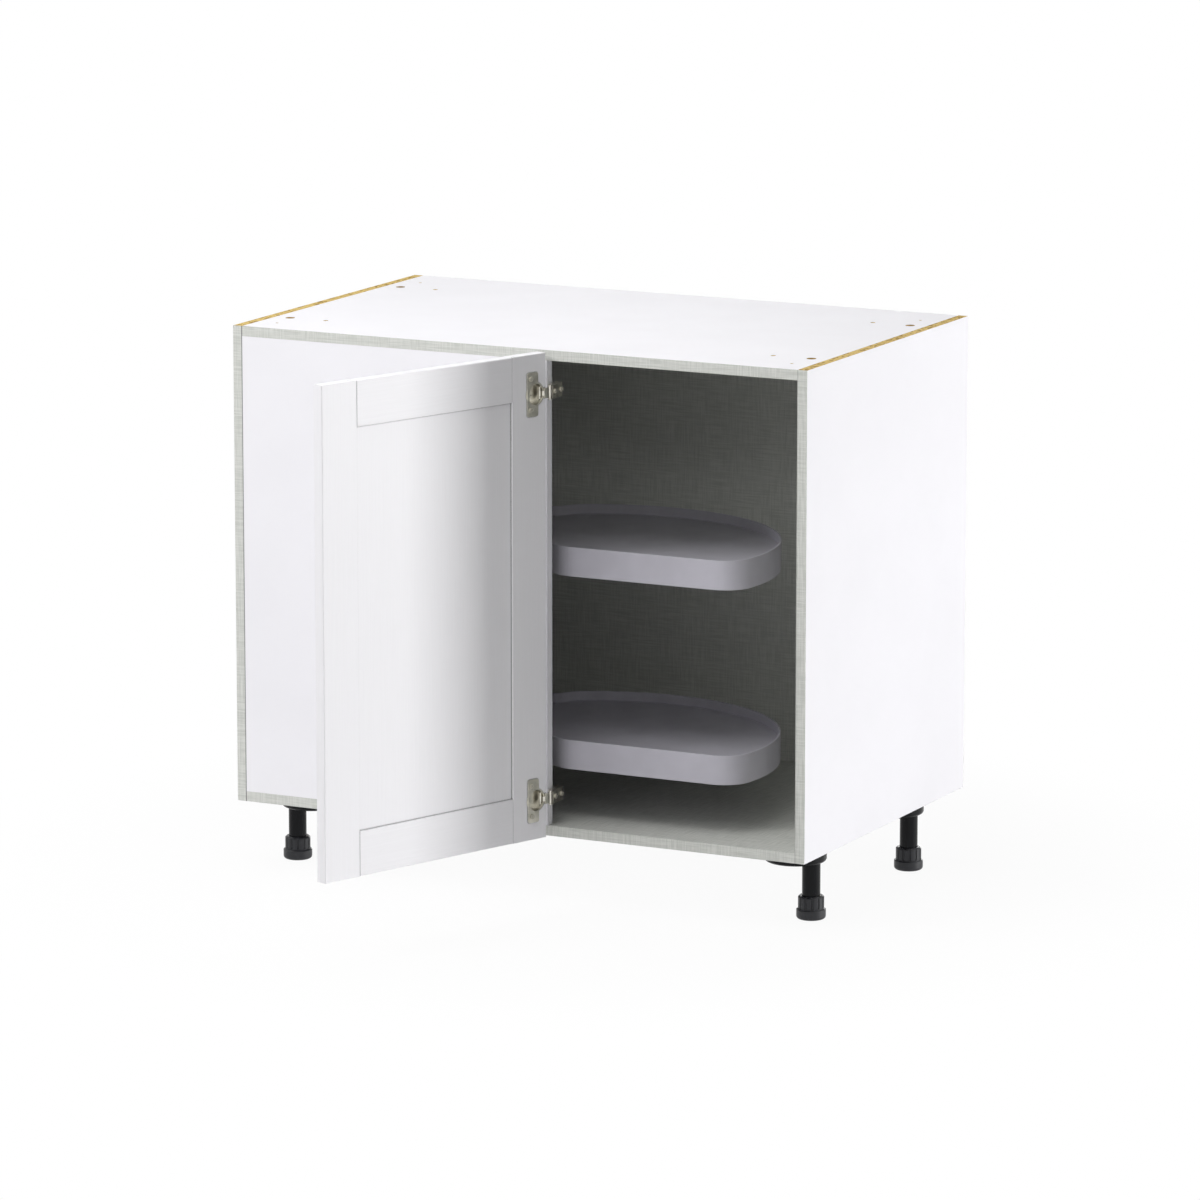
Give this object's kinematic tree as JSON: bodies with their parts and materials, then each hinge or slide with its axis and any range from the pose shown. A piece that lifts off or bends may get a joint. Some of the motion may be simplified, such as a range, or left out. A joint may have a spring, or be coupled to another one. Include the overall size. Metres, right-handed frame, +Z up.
{
  "type": "blind corner base cabinet",
  "caption": "Frameless corner base cabinet on levelling legs, with a blind panel, a full-overlay framed door on concealed hinges and swing-out kidney trays inside.",
  "frame": {"origin": "on the floor, under the middle of the carcass", "axes": "+Z up, +Y from the door side to the wall, +X to the right seen from the front"},
  "size_m": [0.9906, 1.0442, 0.8763],
  "materials": {
    "white_board": "white melamine-faced chipboard, linen decor inside, raw chipboard on the cut edges",
    "linen_board": "chipboard faced with a pale grey linen decor",
    "linen_band": "pale grey edge band with a linen print",
    "white_band": "white edge band",
    "door_white": "smooth white foil, satin",
    "hinge_nickel": "nickel-plated pressed steel",
    "screw_zinc": "zinc-plated steel",
    "cam_zinc": "yellow-passivated zinc casting",
    "beech": "bare beech",
    "post_steel": "silver-grey powder coat",
    "washer_plastic": "natural white acetal",
    "tray_grey": "grey moulding with a fine satin grain",
    "leg_black": "black moulded plastic"
  },
  "bodies": {
    "carcass": {"left_side_panel": "white_board", "right_side_panel": "white_board", "top_panel": "white_board", "bottom_panel": "white_board", "blind_panel": "white_board", "back_panel": "linen_board", "side_edge_bands": "linen_band", "cross_edge_bands": "linen_band", "blind_edge_band": "white_band", "hinge_arms": "hinge_nickel", "hinge_wing_plates": "hinge_nickel", "cam_bolts": "screw_zinc", "hinge_arm_pins": "screw_zinc", "hinge_plate_screws": "screw_zinc", "post_flange_screws": "screw_zinc", "collar_set_screws": "screw_zinc", "leg_socket_screws": "screw_zinc", "cam_locks": "cam_zinc", "joint_dowels": "beech", "tray_post": "post_steel", "post_floor_flange": "post_steel", "post_ceiling_flange": "post_steel", "upper_support_collar": "post_steel", "lower_support_collar": "post_steel", "upper_thrust_washer": "washer_plastic", "lower_thrust_washer": "washer_plastic", "leg_sockets": "leg_black", "leg_tubes": "leg_black"},
    "hinge_links": {"hinge_links": "hinge_nickel"},
    "door": {"door_hinge_stile": "door_white", "door_free_stile": "door_white", "door_top_rail": "door_white", "door_bottom_rail": "door_white", "door_centre_panel": "door_white", "hinge_cups": "hinge_nickel", "hinge_cup_screws": "screw_zinc", "hinge_cup_pins": "screw_zinc"},
    "upper_arm": {"upper_swivel_arm": "post_steel"},
    "upper_tray": {"upper_tray": "tray_grey", "upper_pivot_plate": "screw_zinc", "upper_pivot_shaft": "screw_zinc", "upper_lock_nut": "screw_zinc", "upper_plate_screws": "screw_zinc"},
    "lower_arm": {"lower_swivel_arm": "post_steel"},
    "lower_tray": {"lower_tray": "tray_grey", "lower_pivot_plate": "screw_zinc", "lower_pivot_shaft": "screw_zinc", "lower_lock_nut": "screw_zinc", "lower_plate_screws": "screw_zinc"},
    "foot_front_left_body": {"foot_front_left": "leg_black"},
    "foot_front_right_body": {"foot_front_right": "leg_black"},
    "foot_back_left_body": {"foot_back_left": "leg_black"},
    "foot_back_right_body": {"foot_back_right": "leg_black"}
  },
  "joints": [
    {"name": "link_swing", "type": "hinge", "parent": "carcass", "child": "hinge_links", "pos_m": [0.0658, -0.3107, 0.5], "axis": [0, 0, 1], "range_deg": [-60, 0]},
    {"name": "door_swing", "type": "hinge", "parent": "hinge_links", "child": "door", "pos_m": [0.05506, -0.3239, 0.5], "axis": [0, 0, -1], "range_deg": [-170, 0]},
    {"name": "upper_arm_swing", "type": "hinge", "parent": "carcass", "child": "upper_arm", "pos_m": [-0.135, -0.2575, 0.509], "axis": [0, 0, -1], "range_deg": [0, 124]},
    {"name": "upper_tray_swing", "type": "hinge", "parent": "upper_arm", "child": "upper_tray", "pos_m": [-0.34, 0.065, 0.509], "axis": [0, 0, 1], "range_deg": [0, 36]},
    {"name": "lower_arm_swing", "type": "hinge", "parent": "carcass", "child": "lower_arm", "pos_m": [-0.135, -0.2575, 0.204], "axis": [0, 0, -1], "range_deg": [0, 124]},
    {"name": "lower_tray_swing", "type": "hinge", "parent": "lower_arm", "child": "lower_tray", "pos_m": [-0.34, 0.065, 0.204], "axis": [0, 0, 1], "range_deg": [0, 36]},
    {"name": "foot_front_left_level", "type": "slide", "parent": "carcass", "child": "foot_front_left_body", "axis": [0, 0, 1], "range_m": [-0.02, 0]},
    {"name": "foot_front_right_level", "type": "slide", "parent": "carcass", "child": "foot_front_right_body", "axis": [0, 0, 1], "range_m": [-0.02, 0]},
    {"name": "foot_back_left_level", "type": "slide", "parent": "carcass", "child": "foot_back_left_body", "axis": [0, 0, 1], "range_m": [-0.02, 0]},
    {"name": "foot_back_right_level", "type": "slide", "parent": "carcass", "child": "foot_back_right_body", "axis": [0, 0, 1], "range_m": [-0.02, 0]}
  ],
  "couplings": [
    {"joint": "link_swing", "follows": "door_swing", "ratio": 0.35294},
    {"joint": "upper_tray_swing", "follows": "upper_arm_swing", "ratio": 0.29032},
    {"joint": "lower_tray_swing", "follows": "lower_arm_swing", "ratio": 0.29032}
  ]
}
